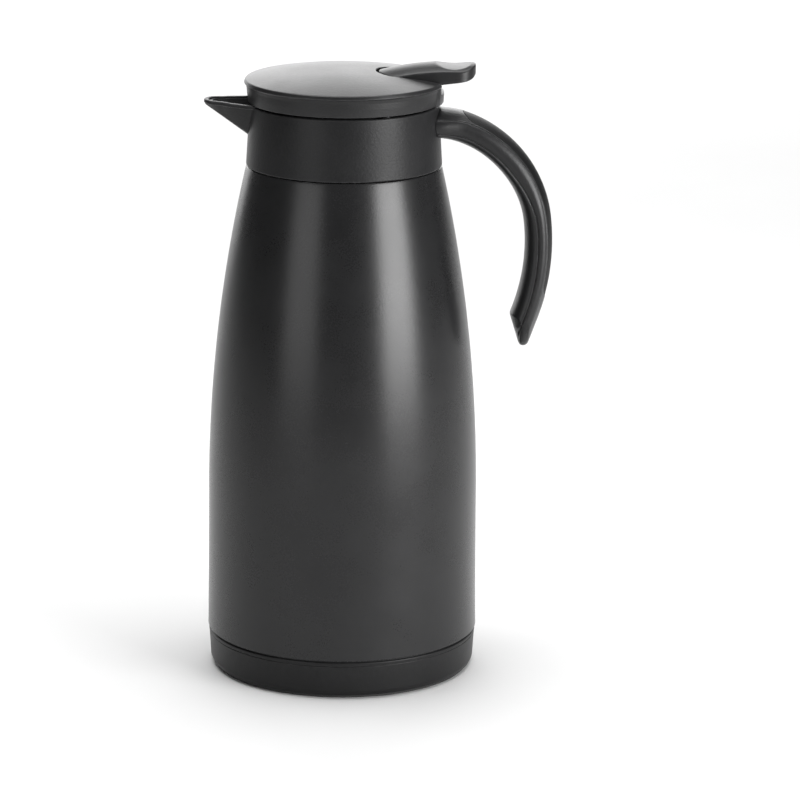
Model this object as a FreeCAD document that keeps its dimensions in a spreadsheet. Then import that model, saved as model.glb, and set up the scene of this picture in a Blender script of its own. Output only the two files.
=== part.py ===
import FreeCAD, Part
import Sketcher
import math
import os

# Black thermal carafe: vacuum body, collar with spout, hook handle, screw lid
# with a thumb lever. Millimetres. Z is up, the ground is z = 0, the body axis
# is the Z axis, the handle points to +X and the spout to -X.

V = FreeCAD.Vector
doc = FreeCAD.newDocument("carafe")
sheet = doc.addObject("Spreadsheet::Sheet", "Dims")
rows = [0]


class Q:
    """A number with the expression that gives it."""

    def __init__(self, v, t):
        self.v = float(v)
        self.t = t

    def __add__(self, o):
        o = q(o)
        return Q(self.v + o.v, "(%s + %s)" % (self.t, o.t))

    def __radd__(self, o):
        return q(o) + self

    def __sub__(self, o):
        o = q(o)
        return Q(self.v - o.v, "(%s - %s)" % (self.t, o.t))

    def __rsub__(self, o):
        return q(o) - self

    def __mul__(self, o):
        o = q(o)
        return Q(self.v * o.v, "(%s * %s)" % (self.t, o.t))

    def __rmul__(self, o):
        return q(o) * self

    def __truediv__(self, o):
        o = q(o)
        return Q(self.v / o.v, "(%s / %s)" % (self.t, o.t))

    def __neg__(self):
        return Q(-self.v, "(-1 * %s)" % self.t)


def q(x):
    return x if isinstance(x, Q) else Q(x, "%.6f" % x)


def sind(a):
    a = q(a)
    return Q(math.sin(math.radians(a.v)), "sin(%s)" % a.t)


def cosd(a):
    a = q(a)
    return Q(math.cos(math.radians(a.v)), "cos(%s)" % a.t)


def dim(name, value):
    rows[0] += 1
    r = str(rows[0])
    sheet.set("A" + r, name)
    sheet.set("B" + r, "%.6f" % value)
    sheet.setAlias("B" + r, name)
    return Q(value, "Dims." + name)


def bind(obj, path, val):
    val = q(val)
    if "Dims." in val.t:
        obj.setExpression(path, val.t)


# ------------------------------------------------------------------ sketches

def new_body(label):
    b = doc.addObject("PartDesign::Body", label)
    b.Label = label
    return b


def sketch(b, role, name, off=0.0, tilt=None):
    """A sketch on one of the body's own planes, moved along its normal.

    tilt = (u, v, w, angle): origin moved by u, v, w in the plane's frame and
    turned about its first axis.
    """
    s = b.newObject("Sketcher::SketchObject", name)
    for f in b.Origin.OriginFeatures:
        if f.Role == role:
            s.AttachmentSupport = [(f, "")]
    s.MapMode = "FlatFace"
    if tilt is not None:
        u, v, w, a = [q(k) for k in tilt]
        s.AttachmentOffset = FreeCAD.Placement(
            V(u.v, v.v, w.v), FreeCAD.Rotation(V(1, 0, 0), a.v))
        bind(s, "AttachmentOffset.Base.x", u)
        bind(s, "AttachmentOffset.Base.y", v)
        bind(s, "AttachmentOffset.Base.z", w)
        bind(s, "AttachmentOffset.Rotation.Angle", a)
    else:
        off = q(off)
        if off.v:
            s.AttachmentOffset = FreeCAD.Placement(
                V(0, 0, off.v), FreeCAD.Rotation())
            bind(s, "AttachmentOffset.Base.z", off)
    return s


def pin_point(s, geo, pos, x, y):
    for kind, val, axis in (("DistanceX", x, -2), ("DistanceY", y, -1)):
        if abs(val.v) < 1e-9:
            s.addConstraint(Sketcher.Constraint("PointOnObject", geo, pos, axis))
        else:
            c = s.addConstraint(
                Sketcher.Constraint(kind, -1, 1, geo, pos, val.v))
            bind(s, "Constraints[%d]" % c, val)


def chain(s, verts, closed=True):
    """Lines and arcs through points. A vertex is (x, y) or (x, y, radius, side):
    the arc runs to the next vertex, its centre left (+1) or right (-1)."""
    n = len(verts)
    pts = [(q(p[0]), q(p[1])) for p in verts]
    segs = []
    radii = []
    for i in range(n if closed else n - 1):
        a, b = pts[i], pts[(i + 1) % n]
        ax, ay, bx, by = a[0].v, a[1].v, b[0].v, b[1].v
        if len(verts[i]) == 2:
            g = s.addGeometry(Part.LineSegment(V(ax, ay, 0), V(bx, by, 0)), False)
            segs.append((g, 1, 2))
        else:
            rad, side = q(verts[i][2]), verts[i][3]
            dx, dy = bx - ax, by - ay
            ln = math.hypot(dx, dy)
            hh = math.sqrt(max(rad.v ** 2 - ln * ln / 4.0, 0.0)) * side
            cx = (ax + bx) / 2.0 - dy / ln * hh
            cy = (ay + by) / 2.0 + dx / ln * hh
            t0 = math.atan2(ay - cy, ax - cx)
            t1 = math.atan2(by - cy, bx - cx)
            if side < 0:
                t0, t1 = t1, t0
            g = s.addGeometry(Part.ArcOfCircle(
                Part.Circle(V(cx, cy, 0), V(0, 0, 1), rad.v), t0, t1), False)
            segs.append((g, 1, 2) if side > 0 else (g, 2, 1))
            radii.append((g, rad))
    for i in range(0 if closed else 1, len(segs)):
        a, b = segs[i - 1], segs[i]
        s.addConstraint(Sketcher.Constraint("Coincident", a[0], a[2], b[0], b[1]))
    for i, sg in enumerate(segs):
        pin_point(s, sg[0], sg[1], pts[i][0], pts[i][1])
    if not closed:
        pin_point(s, segs[-1][0], segs[-1][2], pts[-1][0], pts[-1][1])
    for g, rad in radii:
        c = s.addConstraint(Sketcher.Constraint("Radius", g, rad.v))
        bind(s, "Constraints[%d]" % c, rad)
    return s


def ring(s, x, y, r):
    x, y, r = q(x), q(y), q(r)
    g = s.addGeometry(Part.Circle(V(x.v, y.v, 0), V(0, 0, 1), r.v), False)
    pin_point(s, g, 3, x, y)
    c = s.addConstraint(Sketcher.Constraint("Radius", g, r.v))
    bind(s, "Constraints[%d]" % c, r)
    return s


def rect(s, x0, y0, x1, y1):
    return chain(s, [(x0, y0), (x1, y0), (x1, y1), (x0, y1)])


# ------------------------------------------------------------------ features

def revolve(b, name, verts, cut=False):
    s = chain(sketch(b, "XZ_Plane", name + "_profile"), verts)
    f = b.newObject("PartDesign::Groove" if cut else "PartDesign::Revolution", name)
    f.Profile = s
    f.ReferenceAxis = (s, ["V_Axis"])
    f.Angle = 360
    return f


def extrude(b, name, s, length, cut=False, sym=False, rev=False):
    length = q(length)
    f = b.newObject("PartDesign::Pocket" if cut else "PartDesign::Pad", name)
    f.Profile = s
    f.Length = length.v
    if sym:
        f.SideType = "Symmetric"
    f.Reversed = rev
    bind(f, "Length", length)
    return f


def pipe(b, name, prof, path, edges, cut=False):
    f = b.newObject("PartDesign::SubtractivePipe" if cut
                    else "PartDesign::AdditivePipe", name)
    f.Profile = prof
    f.Spine = (path, ["Edge%d" % (i + 1) for i in range(edges)])
    f.Mode = "Standard"
    return f


def loft(b, name, first, others, cut=False):
    f = b.newObject("PartDesign::SubtractiveLoft" if cut
                    else "PartDesign::AdditiveLoft", name)
    f.Profile = first
    f.Sections = others
    f.Ruled = True
    return f


def helix(b, name, s, pitch, height):
    f = b.newObject("PartDesign::AdditiveHelix", name)
    f.Profile = s
    f.ReferenceAxis = (s, ["V_Axis"])
    f.Mode = "pitch-height-angle"
    f.Pitch = q(pitch).v
    f.Height = q(height).v
    f.Angle = 0
    bind(f, "Pitch", pitch)
    bind(f, "Height", height)
    return f


def polar(b, name, originals, count):
    f = b.newObject("PartDesign::PolarPattern", name)
    f.Originals = originals
    for o in b.Origin.OriginFeatures:
        if o.Role == "Z_Axis":
            f.Axis = (o, [""])
    f.Angle = 360
    f.Occurrences = count
    b.Tip = f
    return f


# ---------------------------------------------------------------- dimensions

shell_r_low = dim("shell_r_low", 64.6)      # body radius at its lower edge
shell_r_mid = dim("shell_r_mid", 64.1)      # where the taper starts
shell_r_top = dim("shell_r_top", 46.3)      # under the collar
shell_z_low = dim("shell_z_low", 18.9)
shell_z_mid = dim("shell_z_mid", 85.0)
shell_z_top = dim("shell_z_top", 243.0)
shell_arc = dim("shell_arc", 715.0)
steel = dim("steel", 0.6)
neck_r = dim("neck_r", 43.2)
lip_z = dim("lip_z", 262.0)
flask_gap = dim("flask_gap", 5.6)           # outer face of shell to flask
flask_neck = dim("flask_neck", 39.6)        # inside radius of the mouth
flask_z = dim("flask_z", 31.0)

base_r_top = dim("base_r_top", 64.2)
base_r_low = dim("base_r_low", 63.2)
base_top = dim("base_top", 18.3)
foot_r = dim("foot_r", 61.1)
foot_in = dim("foot_in", 55.0)
foot_h = dim("foot_h", 2.6)

col_r_low = dim("col_r_low", 46.2)
col_r_top = dim("col_r_top", 44.5)
col_z_low = dim("col_z_low", 244.4)
col_z_top = dim("col_z_top", 273.6)
col_bore = dim("col_bore", 42.5)
spout_x = dim("spout_x", 65.6)              # reach of the spout
spout_low = dim("spout_low", 258.2)         # underside at the collar

sleeve_r = dim("sleeve_r", 37.6)
lead = dim("lead", 21.0)                    # three-start thread, rise per turn
lug_sweep = dim("lug_sweep", 65.0)
stopper_r = dim("stopper_r", 35.4)
stopper_z = dim("stopper_z", 240.0)
flange_z = dim("flange_z", 274.4)

lid_z = dim("lid_z", 289.6)                 # crown of the dome
lid_arc = dim("lid_arc", 235.0)
lid_wall = dim("lid_wall", 2.2)
lid_rim = dim("lid_rim", 47.1)
lid_edge = dim("lid_edge", 283.2)
lid_low = dim("lid_low", 274.6)
lid_r_low = dim("lid_r_low", 45.2)

piv_x = dim("piv_x", 24.0)
piv_z = dim("piv_z", 281.5)
piv_r = dim("piv_r", 2.0)
link_z = dim("link_z", 279.8)
link_r = dim("link_r", 1.5)
lev_half = dim("lev_half", 11.5)
lev_nose = dim("lev_nose", 16.0)
lev_end = dim("lev_end", 61.5)
lev_top = dim("lev_top", 293.1)
lev_arc = dim("lev_arc", 126.0)
lev_peak = dim("lev_peak", 49.0)

hand_x = dim("hand_x", 38.3)
hand_z = dim("hand_z", 265.7)
hand_arc_a = dim("hand_arc_a", 53.3)
hand_ang_a = dim("hand_ang_a", 83.0)
hand_arc_b = dim("hand_arc_b", 98.3)
hand_ang_b = dim("hand_ang_b", 110.0)
hand_half = dim("hand_half", 12.0)
hand_thick = dim("hand_thick", 6.9)         # half thickness
stem_r = dim("stem_r", 3.0)
doc.recompute()

# ---------------------------------------------------------------------- base

b = new_body("foot_ring")
revolve(b, "ring", [
    (foot_in, 0.5), (foot_in + 0.5, 0.0), (foot_r - 0.5, 0.0, 0.5, 1),
    (foot_r, 0.5), (foot_r, foot_h), (foot_in, foot_h)])

b = new_body("base_cup")
revolve(b, "cup", [
    (0.0, foot_h), (foot_r + 0.2, foot_h), (foot_r + 0.2, 1.3),
    (foot_r + 0.9, 1.3, 1.4, 1), (base_r_low, 2.7),
    (base_r_top, base_top - 0.9, 0.9, 1), (base_r_top - 0.7, base_top - 0.05),
    (base_r_top - 0.75, base_top + 5.3), (base_r_top - 2.4, base_top + 5.3),
    (base_r_top - 2.4, foot_h + 2.4), (0.0, foot_h + 2.4)])

b = new_body("shell_bottom")
revolve(b, "dish", [
    (0.0, 23.6), (11.4, 23.6), (13.4, 24.6), (61.0, 24.6),
    (shell_r_low - 0.75, 27.5), (shell_r_low - 0.75, 31.0),
    (shell_r_low - 1.5, 31.0), (shell_r_low - 1.5, 28.0), (60.5, 25.4),
    (13.0, 25.4), (11.0, 24.4), (0.0, 24.4)])

b = new_body("vacuum_plug")
revolve(b, "bead", [(0.0, 21.8), (2.6, 21.8, 1.9, 1), (4.0, 23.6), (0.0, 23.6)])

b = new_body("getter")
extrude(b, "tablet", ring(sketch(b, "XY_Plane", "tablet_plan", 25.4),
                          24.0, 0.0, 7.0), 1.6)

# --------------------------------------------------------------------- steel

b = new_body("outer_shell")
revolve(b, "wall", [
    (shell_r_low, shell_z_low), (shell_r_mid, shell_z_mid, shell_arc, 1),
    (shell_r_top, shell_z_top, 1.15, 1), (shell_r_top - 1.0, shell_z_top + 1.1),
    (neck_r, shell_z_top + 1.1), (neck_r, lip_z), (neck_r - steel, lip_z),
    (neck_r - steel, shell_z_top + 0.5), (shell_r_top - 1.1, shell_z_top + 0.5),
    (shell_r_top - 0.615, shell_z_top, shell_arc - steel, -1),
    (shell_r_mid - steel, shell_z_mid), (shell_r_low - steel, shell_z_low)])

b = new_body("inner_flask")
fr = shell_r_mid - flask_gap
revolve(b, "vessel", [
    (0.0, flask_z), (fr - 13.0, flask_z, 13.0, 1), (fr, flask_z + 13.0),
    (fr, shell_z_mid, shell_arc - flask_gap, 1), (42.2, 236.0),
    (flask_neck + steel, 243.5), (flask_neck + steel, lip_z - steel),
    (neck_r - steel, lip_z - steel), (neck_r - steel, lip_z),
    (flask_neck, lip_z), (flask_neck, 243.3), (41.58, 235.9,
     shell_arc - flask_gap - steel, -1), (fr - steel, shell_z_mid),
    (fr - steel, flask_z + 13.0, 12.4, -1), (fr - 13.0, flask_z + steel),
    (0.0, flask_z + steel)])

# ---------------------------------------------------------------- neck parts

b = new_body("neck_gasket")
revolve(b, "ring", [(39.8, lip_z), (42.4, lip_z), (42.4, lip_z + 1.5),
                    (39.8, lip_z + 1.5)])

lug_rise = lead * lug_sweep / 360.0
lug_z = dim("lug_z", 256.5)                 # middle of a sleeve lug at its start
doc.recompute()

b = new_body("thread_sleeve")
revolve(b, "tube", [
    (33.0, 243.6), (38.8, 243.6), (39.2, 244.0), (39.2, lip_z + 1.5),
    (42.4, lip_z + 1.5), (42.4, lip_z + 3.5), (sleeve_r + 0.6, lip_z + 3.5),
    (sleeve_r, lip_z + 2.9), (sleeve_r, 245.4), (33.0, 245.4)])
s = chain(sketch(b, "XZ_Plane", "lug_profile"), [
    (sleeve_r + 0.5, lug_z - 1.7), (sleeve_r + 0.5, lug_z + 1.7),
    (sleeve_r - 1.6, lug_z + 1.0), (sleeve_r - 1.6, lug_z - 1.0)])
f = helix(b, "lug", s, lead, lug_rise)
polar(b, "lugs", [f], 3)

b = new_body("neck_collar")
revolve(b, "cone", [
    (30.0, col_z_low), (col_r_low - 0.4, col_z_low), (col_r_low, col_z_low + 0.4),
    (col_r_top, col_z_top - 0.7, 0.8, 1), (col_r_top - 0.6, col_z_top),
    (30.0, col_z_top)])
sp0 = chain(sketch(b, "YZ_Plane", "spout_root", -40.0), [
    (-13.4, col_z_top), (-3.6, spout_low - 2.2, 5.0, 1), (3.6, spout_low - 2.2),
    (13.4, col_z_top)])
sp1 = chain(sketch(b, "YZ_Plane", "spout_tip", -spout_x), [
    (-1.9, col_z_top), (-0.8, col_z_top - 1.7, 1.0, 1), (0.8, col_z_top - 1.7),
    (1.9, col_z_top)])
loft(b, "spout", sp0, [sp1])
revolve(b, "bore", [
    (0.0, col_z_low - 5.0), (neck_r + 0.05, col_z_low - 5.0),
    (neck_r + 0.05, lip_z + 1.4), (col_bore, lip_z + 1.4),
    (col_bore, col_z_top + 5.0), (0.0, col_z_top + 5.0)], cut=True)
tr0 = chain(sketch(b, "YZ_Plane", "trough_root", -36.0), [
    (-13.9, col_z_top + 1.2), (-3.4, lip_z + 1.4, 6.0, 1), (3.4, lip_z + 1.4),
    (13.9, col_z_top + 1.2)])
tr1 = chain(sketch(b, "YZ_Plane", "trough_tip", -spout_x + 1.3), [
    (-1.3, col_z_top + 1.2), (-0.35, col_z_top - 0.8, 0.5, 1),
    (0.35, col_z_top - 0.8), (1.3, col_z_top + 1.2)])
loft(b, "trough", tr0, [tr1], cut=True)
hs_y = dim("hs_y", 6.5)
hs_z = dim("hs_z", 267.4)
doc.recompute()
for side, nm in ((1, "a"), (-1, "b")):
    s = ring(sketch(b, "YZ_Plane", "screw_hole_" + nm, 36.0), hs_y * side, hs_z, 1.5)
    extrude(b, "hole_" + nm, s, 14.0, cut=True, rev=True)
    s = ring(sketch(b, "YZ_Plane", "screw_seat_" + nm, 36.0), hs_y * side, hs_z, 2.9)
    extrude(b, "seat_" + nm, s, 6.6, cut=True, rev=True)
    c0 = ring(sketch(b, "YZ_Plane", "sink_wide_" + nm, 42.6), hs_y * side, hs_z, 2.8)
    c1 = ring(sketch(b, "YZ_Plane", "sink_thin_" + nm, 44.1), hs_y * side, hs_z, 1.5)
    loft(b, "sink_" + nm, c0, [c1], cut=True)

# -------------------------------------------------------------------- handle

pa_x = hand_x + hand_arc_a * sind(hand_ang_a)
pa_z = hand_z - hand_arc_a * (1.0 - cosd(hand_ang_a))
cb_x = pa_x - hand_arc_b * sind(hand_ang_a)
cb_z = pa_z - hand_arc_b * cosd(hand_ang_a)


def on_a(h):
    return hand_x + hand_arc_a * sind(h), hand_z - hand_arc_a * (1.0 - cosd(h))


def on_b(h):
    return cb_x + hand_arc_b * sind(h), cb_z + hand_arc_b * cosd(h)


def full_path(b, name, x_start, tail):
    pb = on_b(hand_ang_b)
    return chain(sketch(b, "XZ_Plane", name), [
        (x_start, hand_z), (hand_x, hand_z, hand_arc_a, -1),
        (pa_x, pa_z, hand_arc_b, -1), pb,
        (pb[0] + tail * cosd(hand_ang_b), pb[1] - tail * sind(hand_ang_b))],
        closed=False)


def part_path(b, name, h0, h1):
    return chain(sketch(b, "XZ_Plane", name), [
        on_a(h0) + (hand_arc_a, -1), (pa_x, pa_z, hand_arc_b, -1), on_b(h1)],
        closed=False)


def part_section(b, name, h0, verts):
    p = on_a(h0)
    return chain(sketch(b, "YZ_Plane", name, tilt=(0.0, p[1], p[0], h0)), verts)


def end_cuts(b):
    slope = (col_r_top - col_r_low) / (col_z_top - 0.7 - col_z_low - 0.4)
    revolve(b, "root_cut", [
        (0.0, 236.0), (col_r_low + slope * (236.0 - col_z_low - 0.4), 236.0),
        (col_r_low + slope * (286.0 - col_z_low - 0.4), 286.0), (0.0, 286.0)],
        cut=True)
    s = chain(sketch(b, "XZ_Plane", "end_outline"), [
        (76.0, 184.8), (84.7, 156.2), (97.0, 156.2), (97.0, 136.0),
        (60.0, 136.0), (60.0, 190.0)])
    extrude(b, "end_cut", s, 40.0, cut=True, sym=True)


inlay_h0 = dim("inlay_h0", 18.0)
inlay_h1 = dim("inlay_h1", 104.0)
inlay_half = dim("inlay_half", 7.2)
doc.recompute()

b = new_body("handle_shell")
path = full_path(b, "spine", 30.0, 26.0)
s = chain(sketch(b, "YZ_Plane", "section", 30.0), [
    (-hand_half, hand_z), (hand_half, hand_z), (hand_half, hand_z + 3.4, 1.8, 1),
    (hand_half - 1.4, hand_z + hand_thick - 1.8, 32.1, 1),
    (-hand_half + 1.4, hand_z + hand_thick - 1.8, 1.8, 1),
    (-hand_half, hand_z + 3.4)])
pipe(b, "outer_half", s, path, 4)
s = part_section(b, "recess_section", inlay_h0, [
    (-inlay_half, 4.9), (inlay_half, 4.9), (inlay_half, 12.0), (-inlay_half, 12.0)])
pipe(b, "recess", s, part_path(b, "recess_path", inlay_h0, inlay_h1), 2, cut=True)
s = part_section(b, "cavity_section", inlay_h0, [
    (-9.2, -1.0), (9.2, -1.0), (9.2, 2.6), (-9.2, 2.6)])
pipe(b, "cavity", s, part_path(b, "cavity_path", inlay_h0, inlay_h1), 2, cut=True)
for side, nm in ((1, "a"), (-1, "b")):
    s = ring(sketch(b, "YZ_Plane", "pilot_" + nm, 36.0), hs_y * side, hs_z, 1.5)
    extrude(b, "pilot_hole_" + nm, s, 15.0, cut=True, rev=True)
end_cuts(b)

b = new_body("handle_inner")
path = full_path(b, "spine", 30.0, 26.0)
hw = hand_half - 0.3
s = chain(sketch(b, "YZ_Plane", "section", 30.0), [
    (hw, hand_z - 0.02), (-hw, hand_z - 0.02), (-hw, hand_z - 3.0, 3.7, 1),
    (-hw + 2.7, hand_z - hand_thick + 0.9, 45.5, 1),
    (hw - 2.7, hand_z - hand_thick + 0.9, 3.7, 1), (hw, hand_z - 3.0)])
pipe(b, "belly_half", s, path, 4)
s = part_section(b, "cavity_section", inlay_h0, [
    (-9.0, -4.3), (9.0, -4.3), (9.0, 1.0), (-9.0, 1.0)])
pipe(b, "cavity", s, part_path(b, "cavity_path", inlay_h0, inlay_h1), 2, cut=True)
end_cuts(b)

b = new_body("handle_inlay")
ih = inlay_half - 0.25
s = part_section(b, "section", inlay_h0 + 0.3, [
    (-ih, 4.9), (ih, 4.9), (ih, 5.75, 32.0, 1), (-ih, 5.75)])
pipe(b, "strip", s, part_path(b, "spine", inlay_h0 + 0.3, inlay_h1 - 0.2), 2)

# ------------------------------------------------------------- handle screws

screws = []
for side, nm in ((1, "a"), (-1, "b")):
    shank = doc.addObject("Part::Cylinder", "handle_shank_" + nm)
    shank.Radius = 1.5
    shank.Height = 6.9
    head = doc.addObject("Part::Cone", "handle_head_" + nm)
    head.Radius1 = 2.8
    head.Radius2 = 1.5
    head.Height = 1.5
    for o, x in ((head, 42.6), (shank, 44.1)):
        o.Placement = FreeCAD.Placement(
            V(x, hs_y.v * side, hs_z.v), FreeCAD.Rotation(V(0, 1, 0), 90))
        bind(o, "Placement.Base.y", hs_y * side)
        bind(o, "Placement.Base.z", hs_z)
    one = doc.addObject("Part::Fuse", "handle_screw_" + nm)
    one.Base = head
    one.Tool = shank
    screws.append(one)
handle_screws = doc.addObject("Part::Compound", "handle_screws")
handle_screws.Label = "handle_screws"
handle_screws.Links = screws

# ----------------------------------------------------------------------- lid

b = new_body("lid_cover")
dome_edge = lid_rim - 1.5
revolve(b, "dome", [
    (lid_r_low - lid_wall, lid_low), (lid_r_low - 0.3, lid_low),
    (lid_r_low, lid_low + 0.3), (lid_r_low + 0.55, lid_low + 3.8, 9.0, -1),
    (lid_rim, lid_edge, 1.7, 1), (dome_edge, 285.15, lid_arc, 1),
    (4.0, lid_z - 0.03), (0.0, lid_z - 0.03), (0.0, lid_z - lid_wall),
    (4.0, lid_z - lid_wall, lid_arc - lid_wall, -1), (dome_edge - 2.0, 283.35),
    (dome_edge - 1.6, 282.6), (lid_r_low - lid_wall + 0.5, lid_low + 3.8)])
s = chain(sketch(b, "XZ_Plane", "channel_block_profile"), [
    (11.5, 277.4), (43.0, 277.4), (43.0, 284.3), (37.0, 285.2), (30.0, 286.2),
    (11.5, 287.6)])
extrude(b, "channel_block", s, 28.4, sym=True)
boss_r = dim("boss_r", 38.6)
doc.recompute()
s = sketch(b, "XY_Plane", "boss_plan", flange_z + 2.0)
ring(s, -boss_r, 0.0, 3.2)
bs = extrude(b, "boss", s, 8.6)
polar(b, "bosses", [bs], 3)
# open channel for the lever, out through the rim
cn = lev_nose - 1.3
ch = lev_half + 0.6
s = chain(sketch(b, "XY_Plane", "channel_plan", 300.0), [
    (cn + 6.6, -ch), (70.0, -ch), (70.0, ch), (cn + 6.6, ch, 14.39, 1)])
extrude(b, "channel", s, 21.0, cut=True)
s = rect(sketch(b, "XY_Plane", "hub_plan", 280.0), 13.5, -ch, 29.5, ch)
extrude(b, "hub_well", s, 5.4, cut=True)
s = rect(sketch(b, "XY_Plane", "fork_plan", 286.3), 9.0, -8.0, 18.0, 8.0)
extrude(b, "fork_window", s, 11.0, cut=True)
s = ring(sketch(b, "XZ_Plane", "pivot_plan"), piv_x, piv_z, piv_r)
extrude(b, "pivot_hole", s, 40.0, cut=True, sym=True)
s = ring(sketch(b, "XY_Plane", "boss_pilot", 270.0), -boss_r, 0.0, 1.25)
ph = extrude(b, "boss_hole", s, 13.6, cut=True, rev=True)
polar(b, "boss_holes", [ph], 3)

b = new_body("stopper_body")
revolve(b, "plug", [
    (10.5, stopper_z), (31.2, stopper_z), (32.0, stopper_z + 0.8), (32.0, 247.5),
    (stopper_r, 247.5), (stopper_r, flange_z), (42.8, flange_z),
    (42.8, flange_z + 2.0), (32.4, flange_z + 2.0), (32.4, 272.2), (30.8, 272.2),
    (30.8, 271.0), (32.4, 269.6), (32.4, 249.3), (29.6, 249.3), (29.6, 242.4),
    (12.2, 242.4), (12.2, 242.9), (10.5, 242.9)])
s = chain(sketch(b, "XZ_Plane", "lug_profile"), [
    (stopper_r - 0.5, lug_z - 4.45), (stopper_r + 1.7, lug_z - 3.75),
    (stopper_r + 1.7, lug_z - 1.75), (stopper_r - 0.5, lug_z - 1.05)])
f = helix(b, "lug", s, lead, lug_rise)
polar(b, "lugs", [f], 3)
s = rect(sketch(b, "YZ_Plane", "window_plan"), -9.0, 265.8, 9.0, 270.8)
w = extrude(b, "window", s, 45.0, cut=True)
polar(b, "windows", [w], 3)
s = ring(sketch(b, "XY_Plane", "screw_plan", 270.0), -boss_r, 0.0, 1.25)
ph = extrude(b, "screw_hole", s, 13.6, cut=True, rev=True)
polar(b, "screw_holes", [ph], 3)

b = new_body("stopper_gasket")
revolve(b, "ring", [
    (32.15, 245.75), (34.9, 245.75), (35.2, 246.05), (35.2, 247.4), (32.15, 247.4)])

b = new_body("guide_plate")
revolve(b, "plate", [
    (stem_r + 0.08, 272.2), (32.35, 272.2), (32.35, 274.4), (6.2, 274.4),
    (6.2, 276.6), (5.8, 277.0), (stem_r + 0.3, 277.0), (stem_r + 0.3, 276.3),
    (4.9, 276.3), (4.9, 274.8), (stem_r + 0.08, 274.8)])

b = new_body("stem_seal")
revolve(b, "ring", [
    (stem_r + 0.06, 275.1), (3.5, 274.85), (4.85, 274.85), (4.85, 276.25),
    (3.5, 276.25), (stem_r + 0.06, 276.0)])

pins = []
for i in range(3):
    a = 60.0 + 120.0 * i
    shank = doc.addObject("Part::Cylinder", "lid_shank_%d" % i)
    shank.Radius = 1.25
    shank.Height = 9.0
    head = doc.addObject("Part::Cylinder", "lid_head_%d" % i)
    head.Radius = 2.4
    head.Height = 1.5
    for o, z in ((head, flange_z - 1.5), (shank, flange_z)):
        o.Placement = FreeCAD.Placement(
            V(boss_r.v * math.cos(math.radians(a)),
              boss_r.v * math.sin(math.radians(a)), z.v), FreeCAD.Rotation())
        bind(o, "Placement.Base.x", boss_r * cosd(a))
        bind(o, "Placement.Base.y", boss_r * sind(a))
        bind(o, "Placement.Base.z", z)
    one = doc.addObject("Part::Fuse", "lid_screw_%d" % i)
    one.Base = head
    one.Tool = shank
    pins.append(one)
lid_screws = doc.addObject("Part::Compound", "lid_screws")
lid_screws.Label = "lid_screws"
lid_screws.Links = pins


def cross_pin(label, x, z, r, half):
    p = doc.addObject("Part::Cylinder", label)
    p.Label = label
    p.Radius = r.v
    p.Height = 2 * half
    p.Placement = FreeCAD.Placement(
        V(x.v, half, z.v), FreeCAD.Rotation(V(1, 0, 0), 90))
    bind(p, "Radius", r)
    bind(p, "Placement.Base.x", x)
    bind(p, "Placement.Base.z", z)
    return p


lever_pin = cross_pin("lever_pin", piv_x, piv_z, piv_r, 14.2)
link_pin = cross_pin("link_pin", q(0.0), link_z, link_r, 8.0)

# --------------------------------------------------------------------- lever

b = new_body("lever")


def crest(x):
    """Height of the lever's crown over x."""
    return lev_top.v - lev_arc.v + math.sqrt(lev_arc.v ** 2 - (x - lev_peak.v) ** 2)


c0 = crest(12.0)
lean = math.degrees(math.asin((lev_peak.v - 12.0) / lev_arc.v))
path = chain(sketch(b, "XZ_Plane", "crown"), [
    (12.0, c0, lev_arc, -1), (66.0, crest(66.0))], closed=False)
s = chain(sketch(b, "YZ_Plane", "section", tilt=(0.0, c0, 12.0, -lean)), [
    (-lev_half - 1.0, -14.0), (lev_half + 1.0, -14.0),
    (lev_half + 1.0, -3.7, 22.9, 1), (-lev_half - 1.0, -3.7)])
pipe(b, "blade", s, path, 1)
s = chain(sketch(b, "XZ_Plane", "under_profile"), [
    (8.0, 300.0), (14.5, 300.0), (15.8, 286.6), (18.8, 278.4), (20.0, 277.7),
    (27.6, 277.7), (31.0, 281.7), (45.4, 284.1), (53.0, 285.0), (58.2, 286.5),
    (61.4, 288.9), (62.2, 291.0), (70.0, 293.0), (70.0, 270.0), (8.0, 270.0)])
extrude(b, "underside", s, 40.0, cut=True, sym=True)
s = sketch(b, "XY_Plane", "outline_plan", 300.0)
rect(s, 5.0, -20.0, 75.0, 20.0)
chain(s, [
    (lev_nose + 6.5, -lev_half), (lev_end - 9.7, -lev_half, 11.67, 1),
    (lev_end, 0.0, 11.67, 1), (lev_end - 9.7, lev_half),
    (lev_nose + 6.5, lev_half, 13.42, 1)])
extrude(b, "outline", s, 40.0, cut=True)
s = ring(sketch(b, "XZ_Plane", "thumb_profile"), 50.4, lev_top - 1.8 + 19.6, 19.6)
extrude(b, "thumb_scoop", s, 40.0, cut=True, sym=True)
s = chain(sketch(b, "XZ_Plane", "fork_profile"), [
    (-3.2, link_z - 2.4), (20.5, link_z - 1.8), (22.0, link_z + 3.0),
    (17.5, link_z + 3.6), (14.0, link_z + 2.2), (-3.2, link_z + 2.2)])
extrude(b, "fork", s, 13.6, sym=True)
s = rect(sketch(b, "XY_Plane", "fork_gap_plan", 283.2), -6.0, -3.8, 13.0, 3.8)
extrude(b, "fork_gap", s, 10.0, cut=True)
s = ring(sketch(b, "XZ_Plane", "bore_plan"), piv_x, piv_z, piv_r + 0.06)
extrude(b, "bore", s, 40.0, cut=True, sym=True)
lh = link_r + 0.12
s = chain(sketch(b, "XZ_Plane", "link_slot_plan"), [
    (-0.6, link_z - lh), (0.6, link_z - lh, lh, 1), (0.6 + lh, link_z, lh, 1),
    (0.6, link_z + lh), (-0.6, link_z + lh, lh, 1), (-0.6 - lh, link_z, lh, 1)])
extrude(b, "link_slot", s, 20.0, cut=True, sym=True)

# --------------------------------------------------------------------- valve

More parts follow.
